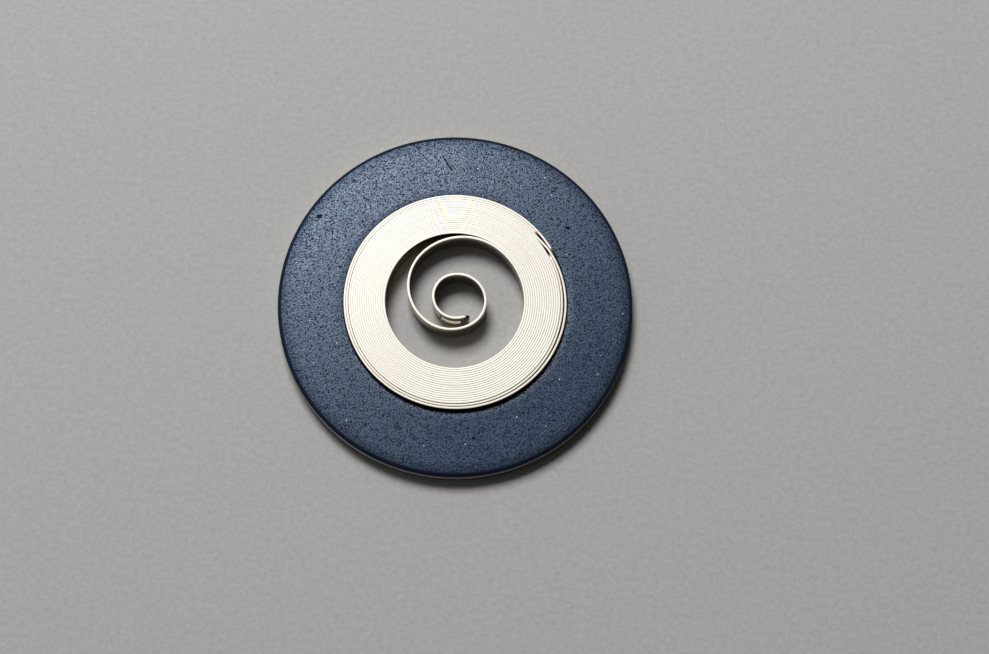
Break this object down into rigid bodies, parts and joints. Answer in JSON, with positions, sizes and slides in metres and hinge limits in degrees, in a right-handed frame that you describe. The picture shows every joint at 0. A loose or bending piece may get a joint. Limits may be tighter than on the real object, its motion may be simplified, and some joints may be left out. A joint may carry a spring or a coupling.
{
  "type": "spiral power spring",
  "caption": "Flat strip wound into a tight spiral power spring with an open core coil and an arbor eye, held wound inside a flat blued steel ring.",
  "frame": {"origin": "centre of the ring, on the plane that the ring and the spring's lower edges rest on", "axes": "+Z is the common axis of the ring and the wound spring, pointing up; +X runs to the right with the outer end of the strip just above it, and +Y away from the viewer"},
  "size_m": [0.0166, 0.0166, 0.0012],
  "materials": {
    "ring": "blue oxide on steel, matt, with fine pits",
    "strip": "bright spring alloy with ground edges"
  },
  "bodies": {
    "root": {"retaining_ring": "ring", "mainspring": "strip", "bridle": "strip"}
  },
  "joints": []
}
